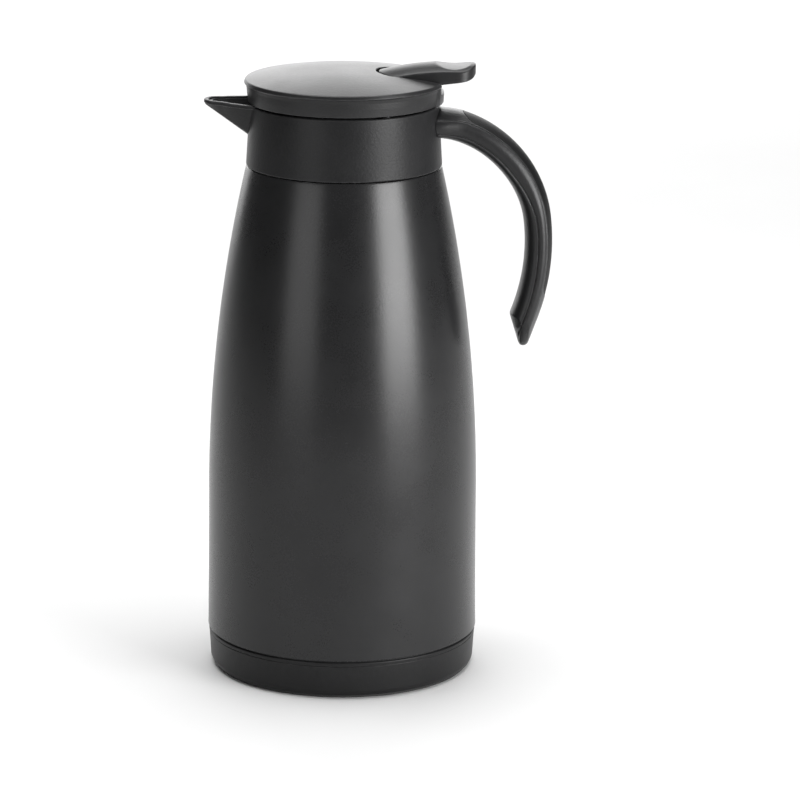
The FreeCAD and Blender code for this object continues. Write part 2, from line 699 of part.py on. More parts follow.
b = new_body("valve_stem")
revolve(b, "spindle", [
    (0.0, 241.8), (5.4, 241.8), (6.0, 242.4), (6.0, 243.2), (4.0, 243.2),
    (4.0, 244.8), (14.0, 244.8), (14.0, 246.4), (13.6, 246.8), (5.0, 246.8),
    (5.0, 249.5), (stem_r, 249.5), (stem_r, 281.9), (stem_r - 0.4, 282.3),
    (0.0, 282.3)])
s = ring(sketch(b, "XZ_Plane", "link_plan"), 0.0, link_z, link_r)
extrude(b, "link_hole", s, 12.0, cut=True, sym=True)

b = new_body("valve_seal")
revolve(b, "disc", [
    (4.0, 243.2), (13.2, 243.2), (13.4, 243.4), (13.4, 244.8), (4.0, 244.8)])

b = new_body("valve_spring")
spr_z0 = dim("spr_z0", 247.5)
spr_z1 = dim("spr_z1", 271.5)
spr_turns = dim("spr_turns", 6.5)
spr_r = dim("spr_r", 7.4)
doc.recompute()
s = ring(sketch(b, "XZ_Plane", "wire"), spr_r, spr_z0, 0.6)
helix(b, "coil", s, (spr_z1 - spr_z0) / spr_turns, spr_z1 - spr_z0)

# -------------------------------------------------------------- check, write

doc.recompute()
names = [
    "foot_ring", "base_cup", "shell_bottom", "vacuum_plug", "getter",
    "outer_shell", "inner_flask", "neck_gasket", "thread_sleeve", "neck_collar",
    "handle_shell", "handle_inner", "handle_inlay", "handle_screws",
    "lid_cover", "stopper_body", "stopper_gasket", "guide_plate", "stem_seal",
    "lid_screws", "lever_pin", "lever", "valve_stem", "valve_seal", "link_pin",
    "valve_spring"]
bad = [(o.Name, list(o.State)) for o in doc.Objects
       if "Invalid" in o.State or "Error" in o.State]
os.makedirs("parts", exist_ok=True)
by_label = {o.Label: o for o in doc.Objects if o.Label in names}
for n in names:
    sh = by_label[n].Shape
    ok = (not sh.isNull()) and sh.isValid() and len(sh.Solids) >= 1
    if not ok:
        bad.append((n, "shape"))
        continue
    bb = sh.BoundBox
    print("%-15s solids %d vol %10.1f  x %.1f..%.1f y %.1f..%.1f z %.1f..%.1f" % (
        n, len(sh.Solids), sh.Volume, bb.XMin, bb.XMax, bb.YMin, bb.YMax,
        bb.ZMin, bb.ZMax))
    sh.exportStep("parts/" + n + ".step")
if bad:
    raise RuntimeError("bad objects: %s" % bad)
print("all parts written")
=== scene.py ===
from math import sin, cos, tan, atan2, acos, sqrt, hypot, pi, radians

import bmesh
import bpy
import numpy as np
from mathutils import Matrix, Vector


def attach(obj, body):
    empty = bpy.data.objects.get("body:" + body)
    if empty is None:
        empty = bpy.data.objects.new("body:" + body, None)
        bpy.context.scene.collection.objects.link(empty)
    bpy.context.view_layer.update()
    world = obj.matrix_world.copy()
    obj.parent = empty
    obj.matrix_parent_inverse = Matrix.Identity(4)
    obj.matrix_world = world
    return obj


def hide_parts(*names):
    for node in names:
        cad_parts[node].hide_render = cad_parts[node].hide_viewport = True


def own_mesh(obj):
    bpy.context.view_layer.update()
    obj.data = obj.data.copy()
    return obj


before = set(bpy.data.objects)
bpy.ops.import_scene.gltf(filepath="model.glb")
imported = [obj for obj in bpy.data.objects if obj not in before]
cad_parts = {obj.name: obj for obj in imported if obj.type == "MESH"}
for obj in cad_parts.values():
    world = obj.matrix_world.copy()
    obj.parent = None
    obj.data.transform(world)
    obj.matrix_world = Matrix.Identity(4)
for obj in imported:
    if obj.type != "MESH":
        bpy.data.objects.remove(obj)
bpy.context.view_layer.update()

MM = 0.001
X, Y, Z = 0, 1, 2


# ------------------------------------------------------------------ mesh tools
class Mesh:
    """Vertices in millimetres and faces, gathered from grids."""

    def __init__(self):
        self.v, self.f = [], []

    def grid(self, P, wu=False, wv=False):
        P = np.asarray(P, float)
        nu, nv = P.shape[:2]
        base = len(self.v)
        self.v.extend(map(tuple, P.reshape(-1, 3)))

        def at(i, j):
            return base + (i % nu) * nv + (j % nv)

        for i in range(nu if wu else nu - 1):
            for j in range(nv if wv else nv - 1):
                self.f.append((at(i, j), at(i + 1, j), at(i + 1, j + 1), at(i, j + 1)))
        return self

    def poly(self, pts):
        base = len(self.v)
        self.v.extend(map(tuple, pts))
        self.f.append(tuple(range(base, base + len(pts))))
        return self

    def obj(self, name):
        me = bpy.data.meshes.new(name)
        me.from_pydata([(x * MM, y * MM, z * MM) for x, y, z in self.v], [], self.f)
        clean(me)
        ob = bpy.data.objects.new(name, me)
        bpy.context.scene.collection.objects.link(ob)
        return ob


def clean(me, dist=2e-7, split=False):
    bm = bmesh.new()
    bm.from_mesh(me)
    bmesh.ops.remove_doubles(bm, verts=bm.verts, dist=dist)
    bmesh.ops.dissolve_degenerate(bm, edges=bm.edges, dist=dist)
    wire = [e for e in bm.edges if not e.link_faces]
    if wire:
        bmesh.ops.delete(bm, geom=wire, context="EDGES")
    loose = [v for v in bm.verts if not v.link_faces]
    if loose:
        bmesh.ops.delete(bm, geom=loose, context="VERTS")
    if split:
        many = [f for f in bm.faces if len(f.verts) > 4]
        if many:
            bmesh.ops.triangulate(bm, faces=many, quad_method="BEAUTY", ngon_method="BEAUTY")
    bmesh.ops.recalc_face_normals(bm, faces=bm.faces)
    bm.to_mesh(me)
    bm.free()
    me.update()


def boolean(ob, other, op, own=False):
    """Applies a union or difference for good and drops the other object."""
    m = ob.modifiers.new("b", "BOOLEAN")
    m.operation, m.solver, m.object, m.use_self = op, "EXACT", other, own
    bpy.context.view_layer.update()
    me = bpy.data.meshes.new_from_object(ob.evaluated_get(bpy.context.evaluated_depsgraph_get()))
    ob.modifiers.clear()
    old, ob.data = ob.data, me
    bpy.data.meshes.remove(old)
    data = other.data
    bpy.data.objects.remove(other)
    bpy.data.meshes.remove(data)
    return ob


def rounded(points, seg=6):
    """Closed or open polyline of (a, b, radius) with its corners rounded; open ends keep radius 0."""
    out, n = [], len(points)
    for i, (a, b, r) in enumerate(points):
        p = np.array([a, b], float)
        if r <= 0:
            out.append(p)
            continue
        u = np.array(points[i - 1][:2], float) - p
        w = np.array(points[(i + 1) % n][:2], float) - p
        u, w = u / np.linalg.norm(u), w / np.linalg.norm(w)
        half = acos(max(-1, min(1, float(u @ w)))) / 2
        d = r / tan(half)
        c = p + (u + w) / np.linalg.norm(u + w) * (r / sin(half))
        s, e = p + u * d - c, p + w * d - c
        turn = atan2(s[0] * e[1] - s[1] * e[0], float(s @ e))
        for k in range(seg + 1):
            t = turn * k / seg
            out.append(c + np.array([s[0] * cos(t) - s[1] * sin(t), s[0] * sin(t) + s[1] * cos(t)]))
    return np.array(out)


def lathe(profile, count=320, thetas=None, shape=None):
    """Closed (r, z) loop turned about Z; shape(r, z, theta) may move a point in or out."""
    th = np.linspace(0, 2 * pi, count, endpoint=False) if thetas is None else np.asarray(thetas)
    P = np.zeros((len(profile), len(th), 3))
    for i, (r, z) in enumerate(profile):
        rr = np.full(len(th), r) if shape is None else np.array([shape(r, z, t) for t in th])
        P[i, :, 0], P[i, :, 1], P[i, :, 2] = rr * np.cos(th), rr * np.sin(th), z
    return Mesh().grid(P, True, True)


def prism(outline, lo, hi, axis=Y):
    """Outline in the two other axes, drawn out along one axis."""
    rows = []
    for k in (lo, hi):
        row = []
        for a, b in outline:
            row.append((a, k, b) if axis == Y else (a, b, k) if axis == Z else (k, a, b))
        rows.append(row)
    m = Mesh().grid(rows, False, True)
    return m.poly(rows[0]).poly(rows[1])


def box(x0, x1, y0, y1, z0, z1):
    return prism([(x0, y0), (x1, y0), (x1, y1), (x0, y1)], z0, z1, Z)


def smooth(t):
    t = np.clip(t, 0, 1)
    return t * t * (3 - 2 * t)


def wear_and_sheen_of(me):
    """Marks convex edges, where the finish is rubbed a little lighter and also gets a painted edge highlight."""
    n, e = len(me.vertices), len(me.edges)
    co, no = np.zeros(n * 3), np.zeros(n * 3)
    me.vertices.foreach_get("co", co)
    me.vertices.foreach_get("normal", no)
    ed = np.zeros(e * 2, int)
    me.edges.foreach_get("vertices", ed)
    co, no, ed = co.reshape(-1, 3), no.reshape(-1, 3), ed.reshape(-1, 2)
    d = co[ed[:, 0]] - co[ed[:, 1]]
    q = np.maximum((d * d).sum(1), 1e-12)
    acc, cnt = np.zeros(n), np.zeros(n)
    for a, sgn in ((0, 1.0), (1, -1.0)):
        np.add.at(acc, ed[:, a], sgn * (no[ed[:, a]] * d).sum(1) / q)
        np.add.at(cnt, ed[:, a], 1)
    conv = acc / np.maximum(cnt, 1)
    val = np.clip((conv - 120) / 500, 0, 1)
    at = me.attributes.new("wear_and_sheen", "FLOAT", "POINT")
    at.data.foreach_set("value", val.astype(np.float32))


def piece(ob, body, slot, mat, *nodes, angle=38, weighted=True):
    me = ob.data
    clean(me, split=True)
    me.shade_smooth()
    me.set_sharp_from_angle(angle=radians(angle))
    wear_and_sheen_of(me)
    me.materials.clear()
    me.materials.append(mat)
    if weighted:
        w = ob.modifiers.new("normals", "WEIGHTED_NORMAL")
        w.keep_sharp = True
        w.weight = 60
    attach(ob, body)
    if nodes:
        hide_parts(*nodes)
    return ob


# ------------------------------------------------------------------- materials
class Shader:
    def __init__(self, name):
        self.mat = bpy.data.materials.new(name)
        self.mat.use_nodes = True
        self.t = self.mat.node_tree
        self.t.nodes.clear()
        self.out = self.t.nodes.new("ShaderNodeOutputMaterial")
        self.b = self.t.nodes.new("ShaderNodeBsdfPrincipled")
        self.t.links.new(self.b.outputs[0], self.out.inputs[0])
        self.co = self.t.nodes.new("ShaderNodeTexCoord").outputs["Object"]

    def link(self, a, b):
        self.t.links.new(a, b)

    def scaled(self, sx, sy, sz):
        n = self.t.nodes.new("ShaderNodeMapping")
        n.inputs["Scale"].default_value = (sx, sy, sz)
        self.link(self.co, n.inputs["Vector"])
        return n.outputs["Vector"]

    def noise(self, scale, detail=2.0, rough=0.5, co=None):
        n = self.t.nodes.new("ShaderNodeTexNoise")
        n.inputs["Scale"].default_value = scale
        n.inputs["Detail"].default_value = detail
        n.inputs["Roughness"].default_value = rough
        self.link(self.co if co is None else co, n.inputs["Vector"])
        return n.outputs["Fac"]

    def remap(self, src, a, b, lo=0.0, hi=1.0):
        n = self.t.nodes.new("ShaderNodeMapRange")
        for k, v in (("From Min", lo), ("From Max", hi), ("To Min", a), ("To Max", b)):
            n.inputs[k].default_value = v
        self.link(src, n.inputs["Value"])
        return n.outputs["Result"]

    def math(self, op, a, b):
        n = self.t.nodes.new("ShaderNodeMath")
        n.operation = op
        n.use_clamp = False
        for k, v in enumerate((a, b)):
            if isinstance(v, (int, float)):
                n.inputs[k].default_value = v
            else:
                self.link(v, n.inputs[k])
        return n.outputs[0]

    def mix(self, fac, a, b):
        n = self.t.nodes.new("ShaderNodeMix")
        n.data_type = "RGBA"
        self.link(fac, n.inputs[0])
        for k, v in ((6, a), (7, b)):
            if isinstance(v, tuple):
                n.inputs[k].default_value = (*v, 1.0)
            else:
                self.link(v, n.inputs[k])
        return n.outputs[2]

    def attr(self, name):
        n = self.t.nodes.new("ShaderNodeAttribute")
        n.attribute_name = name
        return n.outputs["Fac"]

    def bump(self, height, strength, distance, normal=None):
        n = self.t.nodes.new("ShaderNodeBump")
        n.inputs["Strength"].default_value = strength
        n.inputs["Distance"].default_value = distance
        self.link(height, n.inputs["Height"])
        if normal is not None:
            self.link(normal, n.inputs["Normal"])
        return n.outputs["Normal"]

    def put(self, **kw):
        for k, v in kw.items():
            s = self.b.inputs[k.replace("_", " ")]
            if isinstance(v, (int, float)):
                s.default_value = v
            elif isinstance(v, tuple):
                s.default_value = (*v, 1.0)
            else:
                self.link(v, s)
        return self


def moulded(name, base, worn_and_sheen, rough, var, grain, depth, peel=0.0, wear_and_sheen=0.5, spec=0.32):
    """Opaque finish: a fine grain in the relief, slow changes of gloss and tone, lighter convex edges that are partly
    rubbed wear and partly a painted highlight.
    """
    s = Shader(name)
    fine = s.noise(grain, 3.0, 0.6)
    slow = s.noise(38.0, 3.0, 0.55)
    patch = s.noise(11.0, 2.0, 0.5)
    # convex-edge mask: rubbed wear, and also a painted highlight along the edges
    edge = s.math("MULTIPLY", s.attr("wear_and_sheen"), s.remap(s.noise(420.0, 4.0, 0.65), 0.1, 1.0, 0.32, 0.68))
    edge = s.math("MULTIPLY", edge, wear_and_sheen)
    tone = s.mix(s.remap(slow, 0.0, 1.0, 0.3, 0.7), tuple(c * 0.86 for c in base), tuple(c * 1.14 for c in base))
    tone = s.mix(s.remap(fine, 0.0, 0.35, 0.55, 0.85), tone, tuple(min(1, c * 1.9) for c in base))
    col = s.mix(edge, tone, worn_and_sheen)
    r = s.math("ADD", s.remap(slow, rough - var, rough + var, 0.25, 0.75), s.remap(patch, -var * 0.6, var * 0.6, 0.3, 0.7))
    r = s.math("ADD", r, s.remap(fine, -var * 0.5, var * 0.5, 0.3, 0.7))
    r = s.math("SUBTRACT", r, s.math("MULTIPLY", edge, 0.1))
    n = s.bump(fine, 0.5, depth)
    if peel:
        n = s.bump(s.noise(260.0, 1.0, 0.4), 0.5, peel, n)
    s.put(Base_Color=col, Roughness=r, Normal=n, Metallic=0.0, Specular_IOR_Level=spec)
    return s.mat


def brushed(name, base, rough):
    s = Shader(name)
    lines = s.noise(1.0, 4.0, 0.6, s.scaled(60.0, 60.0, 5200.0))
    slow = s.noise(30.0, 3.0, 0.5)
    col = s.mix(s.remap(lines, 0.0, 1.0, 0.3, 0.7), tuple(c * 0.84 for c in base), tuple(min(1, c * 1.1) for c in base))
    r = s.math("ADD", s.remap(lines, rough - 0.07, rough + 0.07, 0.3, 0.7), s.remap(slow, -0.04, 0.04, 0.3, 0.7))
    s.put(Base_Color=col, Roughness=r, Metallic=1.0, Normal=s.bump(lines, 0.35, 0.00002))
    return s.mat


def soft(name, base, rough, grain, depth, sub=0.0):
    s = Shader(name)
    fine = s.noise(grain, 3.0, 0.6)
    slow = s.noise(55.0, 3.0, 0.5)
    col = s.mix(s.remap(slow, 0.0, 1.0, 0.3, 0.7), tuple(c * 0.85 for c in base), tuple(min(1, c * 1.12) for c in base))
    r = s.math("ADD", s.remap(fine, rough - 0.06, rough + 0.06, 0.3, 0.7), s.remap(slow, -0.05, 0.05, 0.3, 0.7))
    s.put(Base_Color=col, Roughness=r, Normal=s.bump(fine, 0.5, depth), Subsurface_Weight=sub)
    return s.mat


PAINT = moulded("satin_paint", (0.0125, 0.0125, 0.0130), (0.030, 0.030, 0.031), 0.280, 0.020, 1300.0, 0.000045, 0.000006, 0.5)
# light edge colour set high: painted highlight lines along the handle's edges and slot rim, besides rubbed wear
PLASTIC = moulded("grained_plastic", (0.0130, 0.0130, 0.0135), (0.085, 0.085, 0.087), 0.36, 0.035, 800.0, 0.000180, 0.000006, 0.6)
COLLAR = moulded("collar_plastic", (0.0140, 0.0140, 0.0146), (0.060, 0.060, 0.061), 0.39, 0.035, 800.0, 0.000180, 0.000006, 0.6, 0.16)
SATIN = moulded("lid_plastic", (0.0135, 0.0135, 0.0140), (0.070, 0.070, 0.072), 0.38, 0.030, 800.0, 0.000140, 0.000006, 0.6, 0.27)
# darker base colour than the other plastics: painted shade from the shadowed floor around the foot
SHADED_BASE = moulded("base_plastic_painted_shade", (0.0085, 0.0085, 0.0088), (0.045, 0.045, 0.046), 0.40, 0.035, 900.0, 0.000080, 0.000006, 0.5, 0.20)
INLAY = moulded("soft_inlay", (0.0055, 0.0055, 0.0057), (0.016, 0.016, 0.016), 0.50, 0.040, 3400.0, 0.000026, 0.0, 0.3, 0.16)
DARK = moulded("inner_plastic", (0.0200, 0.0200, 0.0205), (0.050, 0.050, 0.051), 0.50, 0.040, 1800.0, 0.000015, 0.0, 0.4)
STEEL = brushed("brushed_steel", (0.62, 0.62, 0.63), 0.30)
SCREW = brushed("phosphated_steel", (0.085, 0.085, 0.088), 0.52)
SPRING = brushed("drawn_wire", (0.55, 0.55, 0.57), 0.26)
SILICONE = soft("silicone", (0.60, 0.60, 0.58), 0.50, 900.0, 0.00001, 0.15)
RUBBER = soft("foot_rubber", (0.020, 0.020, 0.020), 0.72, 1500.0, 0.00003)
GLASS = soft("solder_glass", (0.22, 0.19, 0.15), 0.18, 500.0, 0.00004)
GETTER = soft("sintered_metal", (0.33, 0.33, 0.34), 0.62, 2400.0, 0.00006)


# ------------------------------------------------------------------------ body
def shell_r(z):
    if z < 85.0:
        return 64.08 + 0.5 * ((85.0 - z) / 66.1) ** 1.6
    return -650.9 + sqrt(715.0 ** 2 - (z - 84.45) ** 2) - 0.02


def shell_profile():
    outer = [(shell_r(z), z) for z in np.concatenate([np.linspace(19.6, 85, 24), np.linspace(88, 242.9, 60)])]
    hem = [(64.58 - 0.32 + 0.32 * cos(a), 19.3 - 0.32 * sin(a)) for a in np.linspace(pi, 0.15, 9)]
    top = rounded([(46.31, 242.9, 0), (45.95, 244.1, 0.55), (43.2, 244.1, 0.5), (43.2, 262.0, 0.25), (42.6, 262.0, 0.25), (42.6, 243.2, 0)], 5)[1:]
    inner = [(shell_r(z) - 0.6, z) for z in np.linspace(242.2, 19.6, 46)]
    return [tuple(p) for p in hem] + outer + [tuple(p) for p in top] + inner


piece(lathe(shell_profile(), 360).obj("body_shell"), "carafe", "black_paint", PAINT, "outer_shell")

base_pts = rounded([
    (61.3, 2.6, 0.2), (61.3, 1.3, 0.3), (62.2, 1.3, 1.1), (63.25, 3.6, 3.0), (64.03, 15.95, 0.25), (63.82, 16.25, 0.12),
    (64.16, 16.5, 0.25), (64.25, 18.25, 0.75), (63.45, 18.25, 0.15), (63.45, 23.6, 0.3), (61.8, 23.6, 0.3), (61.8, 5.0, 0.8),
    (8.0, 5.0, 0.0), (0.0, 5.0, 0.0), (0.0, 2.6, 0.0), (8.0, 2.6, 0.0)], 5)
piece(lathe([tuple(p) for p in base_pts], 320).obj("base"), "carafe", "black_plastic", SHADED_BASE, "base_cup")

foot = rounded([(55.0, 2.6, 0.2), (55.0, 0.0, 0.5), (57.4, 0.0, 0.15), (57.4, 0.35, 0.15), (58.7, 0.35, 0.15), (58.7, 0.0, 0.15),
                (61.1, 0.0, 0.5), (61.1, 2.6, 0.2)], 4)
piece(lathe([tuple(p) for p in foot], 256).obj("foot"), "carafe", "foot_rubber", RUBBER, "foot_ring")


# ---------------------------------------------------------------------- collar
fine_t = np.radians(np.arange(0.0, 359.9, 1.2))
outer = [(46.15 + (44.5 - 46.15) * k, 245.2 + (272.8 - 245.2) * k) for k in np.linspace(0, 1, 48)]
low = rounded([(43.25, 244.45, 0), (46.2, 244.45, 0.55), (46.15, 245.4, 0)], 5)[:-1]
high = rounded([(44.5, 272.6, 0), (44.5, 273.6, 0.75), (42.5, 273.6, 0.6), (42.5, 263.4, 0.0), (43.25, 263.4, 0.0)], 6)[1:]
collar = lathe([tuple(p) for p in low] + outer + [tuple(p) for p in high], thetas=fine_t).obj("collar")


def round_end(d, line, r):
    """Half width of the spout's plan: straight sides that close in a round tip."""
    circ = sqrt(max(1e-9, r * r - (r - d) ** 2)) if d < r else d
    k = 0.15 + 0.85 * float(smooth(d / 6.0))
    return -k * np.log(np.exp(-line / k) + np.exp(-circ / k))


TIP = -65.35


def spout_w(x):
    d = x - TIP
    return float(round_end(d, 6.0 + 0.34 * d, 8.0))


def spout_rim(x):
    return 273.3 + 0.9 * float(smooth((-43.0 - x) / 22.0))


def spout_low(x):
    return 257.4 + (-44.0 - x) / 21.0 * 15.0


def spout_at(x):
    k = min(1.0, max(0.0, (x + 40.0) / (-25.7)))
    w = spout_w(x)
    return w, spout_low(x), min(3.6 - 2.6 * k, 0.4 * w), min(5.0 - 3.6 * k, 1.2 * w)


def spout_section(w, zb, f, r, top):
    L = hypot(w - f, top - zb)
    r = min(r, 0.92 * min(f, 0.6 * L) * tan(acos(-(w - f) / L) / 2))
    half = rounded([(w, top, 0), (f, zb, r), (-f, zb, r), (-w, top, 0)], 9)
    mid = [half[0] + (half[1] - half[0]) * k for k in np.linspace(0, 1, 6)[:-1]]
    mid2 = [half[-2] + (half[-1] - half[-2]) * k for k in np.linspace(0, 1, 6)[1:]]
    return np.array(mid + list(half[1:-1]) + mid2)


rows = []
near_tip = [TIP + d for d in (8.0, 7.0, 6.0, 5.0, 4.2, 3.5, 2.9, 2.3, 1.8, 1.4, 1.05, 0.75, 0.5, 0.3, 0.15, 0.06)]
for x in list(np.linspace(-41.0, TIP + 9.0, 20)) + near_tip:
    w, zb, f, r = spout_at(x)
    rows.append([(x, y, z) for y, z in spout_section(w, zb, f, r, spout_rim(x) + 0.1)])
m = Mesh().grid(rows, False, True)
m.poly(rows[0]).poly(rows[-1])
boolean(collar, m.obj("spout_out"), "UNION")

rows = []
IN_TIP = TIP + 3.3
for x in list(np.linspace(-35.0, IN_TIP + 7.5, 24)) + [IN_TIP + d for d in (6.5, 5.5, 4.6, 3.8, 3.1, 2.5, 1.9, 1.4, 1.0, 0.65, 0.35, 0.12)]:
    d = x - IN_TIP
    w = float(round_end(d, 5.4 + 0.34 * d, 6.6))
    k = min(1.0, max(0.0, (x + 40.0) / (-25.7)))
    zb = max(263.4, spout_low(x) + 1.6)
    sec = spout_section(w, zb, min(3.0 - 2.0 * k, 0.4 * w), min(4.0 - 2.8 * k, 1.1 * w), 275.4)
    rows.append([(x, w, 283.0)] + [(x, y, z) for y, z in sec] + [(x, -w, 283.0)])
m = Mesh().grid(rows, False, True)
m.poly(rows[0]).poly(rows[-1])
boolean(collar, m.obj("trough"), "DIFFERENCE")

edge = [(x, spout_w(x)) for x in list(np.linspace(-41.0, TIP + 8.5, 26)) + near_tip] + [(TIP, 0.0)]
rim = []
for i, (x, y) in enumerate(edge[:-1]):
    a, b = edge[max(i - 1, 0)], edge[i + 1]
    d = np.array([b[0] - a[0], b[1] - a[1]])
    d /= np.linalg.norm(d)
    q = (x - d[1] * 0.62, y + d[0] * 0.62)
    if q[1] > 0.25 and (not rim or hypot(q[0] - rim[-1][0], q[1] - rim[-1][1]) > 0.22):
        rim.append(q)
rim = rim + [(TIP + 0.62, 0.0)] + [(x, -y) for x, y in reversed(rim)]
rows = []
for i, (x, y) in enumerate(rim):
    a, b = rim[max(i - 1, 0)], rim[min(i + 1, len(rim) - 1)]
    d = np.array([b[0] - a[0], b[1] - a[1]])
    d /= np.linalg.norm(d)
    ring_pts = [(1.15 * np.sign(cos(t)) * abs(cos(t)) ** 0.62, 0.95 * np.sign(sin(t)) * abs(sin(t)) ** 0.62) for t in np.linspace(0, 2 * pi, 33)[:-1]]
    rows.append([(x - d[1] * u, y + d[0] * u, spout_rim(x) + v) for u, v in ring_pts])
m = Mesh().grid(rows, False, True)
m.poly(rows[0]).poly(rows[-1])
boolean(collar, m.obj("rim_bead"), "UNION", True)
piece(collar, "carafe", "black_plastic", COLLAR, "neck_collar", angle=32)


# ---------------------------------------------------------------------- handle
S1, S2, S3 = 8.3, 8.3 + 53.3 * radians(83), 8.3 + 53.3 * radians(83) + 98.3 * radians(27)


def along(s):
    """Point, outward normal and heading of the handle's centre line."""
    if s <= S1:
        h, p = 0.0, (30.0 + s, 265.7)
    elif s <= S2:
        h = (s - S1) / 53.3
        p = (38.3 + 53.3 * sin(h), 212.4 + 53.3 * cos(h))
    elif s <= S3:
        h = radians(83) + (s - S2) / 98.3
        p = (-6.37 + 98.3 * sin(h), 206.9 + 98.3 * cos(h))
    else:
        h = radians(110)
        p = (-6.37 + 98.3 * sin(h) + cos(h) * (s - S3), 206.9 + 98.3 * cos(h) - sin(h) * (s - S3))
    return p, (sin(h), cos(h)), h


def point(s, y, n):
    (x, z), (nx, nz), h = along(s)
    return np.array([x + nx * n, y, z + nz * n])


part_h = np.array([0, 8, 15, 25, 40, 55, 65, 75, 86, 111], float)
part_n = np.array([-4.6, -4.2, -3.5, -3.0, -3.1, -3.1, -2.2, -1.1, -0.1, 0.0])


def parting(s):
    h = np.degrees(along(s)[2])
    return float(np.mean([np.interp(h + d, part_h, part_n) for d in np.linspace(-4, 4, 9)]))


def wide(s):
    return 12.85 + 2.1 * float(smooth((27.0 - s) / 14.0))


def corner(s):
    """Edge of the crowned face: half width and height."""
    return 10.7 + 1.6 * float(smooth((30.0 - s) / 15.0)), 4.1 - 1.2 * float(smooth((27.0 - s) / 13.0))


def crown(y, s=60.0):
    """Height of the spine's crowned face above the centre line."""
    yc, nc = corner(s)
    top = 6.9 - 0.6 * float(smooth((27.0 - s) / 13.0))
    return top - (top - nc) * (y / yc) ** 2


def belly(s):
    """Lowest point of the section, on the side of the fingers."""
    return -7.35 + 1.05 * float(smooth((along(s)[2] - radians(40)) / radians(50)))


def side(s, n):
    """Half width of the section at a height: a bulging rail above the parting, a round belly below it."""
    w, g = wide(s), parting(s)
    yc, nc = corner(s)
    if n >= g:
        mid = 0.45 * g + 0.55 * nc - 1.0
        if n >= mid:
            return w - (w - yc - 0.45) * ((n - mid) / (nc - mid)) ** 2.2
        return w - 0.9 * ((mid - n) / (mid - g)) ** 2.2
    k = min(1.0, (g - n) / (g - belly(s)))
    return (w - 0.9) * (1 - k ** 2.15) ** (1 / 2.15)


def arch(s, a, b, r, w):
    """Half width of a slot with oval ends of length r that runs from a to b."""
    if s <= a or s >= b:
        return 0.0
    d = max(0.0, a + r - s, s - (b - r)) / r
    return w * sqrt(max(0.0, 1 - d * d))


IN_A, IN_B, IN_W, IN_R, DEEP = 24.0, S2 + 98.3 * radians(21), 9.9, 6.6, 1.9


def shell_section(s):
    g = parting(s) + 0.07
    e = side(s, g + 0.3)
    pts = [(0.0, g), (e * 0.5, g), (e - 0.34, g), (e - 0.12, g + 0.08)]
    yc, nc = corner(s)
    for n in np.linspace(g + 0.3, nc - 0.5, 12):
        pts.append((side(s, n), n))
    y0 = side(s, nc - 0.5)
    pts += [(y0 - 0.14, nc - 0.40), (y0 - 0.75, nc - 0.42), (y0 - 0.80, nc - 0.30), (yc + 0.10, nc - 0.16), (yc + 0.08, nc - 0.03), (yc - 0.02, nc + 0.03), (yc - 0.22, crown(yc - 0.22, s))]
    y1 = yc - 0.22
    y2 = arch(s, IN_A - 0.3, IN_B + 0.3, IN_R + 0.3, IN_W + 0.3)
    for k in np.linspace(0, 1, 6)[1:]:
        y = y1 + (y2 - y1) * k
        pts.append((y, crown(y, s)))
    for a in np.linspace(0, pi / 2, 5)[1:]:
        o = 0.3 * (1 - sin(a))
        y = arch(s, IN_A - o, IN_B + o, IN_R + o, IN_W + o)
        pts.append((y, crown(y, s) - (0.3 * (1 - cos(a)) if y > 0 else 0.0)))
    y = arch(s, IN_A, IN_B, IN_R, IN_W)
    for f in (1.0, 0.66, 0.33, 0.0):
        pts.append((y * f, crown(y * f, s) - (DEEP if y > 0 else 0.0)))
    half = pts
    return half + [(-a, b) for a, b in reversed(half[1:-1])]


def belly_section(s):
    g = parting(s) - 0.07
    e = side(s, g - 0.3)
    pts = [(0.0, g), (e * 0.5, g), (e - 0.34, g), (e - 0.12, g - 0.08)]
    lo = belly(s)
    for k in np.linspace(0, 1, 15):
        n = (g - 0.3) + (lo - (g - 0.3)) * sin(k * pi / 2)
        pts.append((side(s, n), n))
    pts[-1] = (0.0, lo)
    e2 = pts[-2][0]
    pts.insert(-1, (e2 * 0.5, lo + (pts[-2][1] - lo) * 0.22))
    return pts + [(-a, b) for a, b in reversed(pts[1:-1])]


def start_of(y, n):
    """Where a line of the handle meets the collar."""
    lo, hi = 0.0, 30.0
    for _ in range(40):
        s = (lo + hi) / 2
        p = point(s, y, n)
        lo, hi = (s, hi) if hypot(p[0], p[1]) < 44.35 + (272.8 - p[2]) * 0.06 else (lo, s)
    return (lo + hi) / 2


def past_end(p, y, n):
    """Above zero beyond the slanted, slightly hollow end with its rounded tip."""
    a = 0.957 * (p[0] - 75.55) + 0.291 * (p[2] - 183.58) - y * y / 46.0 - 1.7 * (1 - sqrt(max(0.0, 1 - (y / 12.95) ** 2)))
    b, r = max(0.0, crown(y) - n), 2.5
    need = 0.0
    if b < 1.8 * r:
        need = r - 0.8 * (b - r) - 0.6 * sqrt(max(0.0, r * r - (b - r) ** 2))
    return need - a


def end_of(y, n):
    lo, hi = S3 - 10.0, S3 + 34.0
    for _ in range(44):
        s = (lo + hi) / 2
        lo, hi = (s, hi) if past_end(point(s, y, n), y, n) < 0 else (lo, s)
    return (lo + hi) / 2


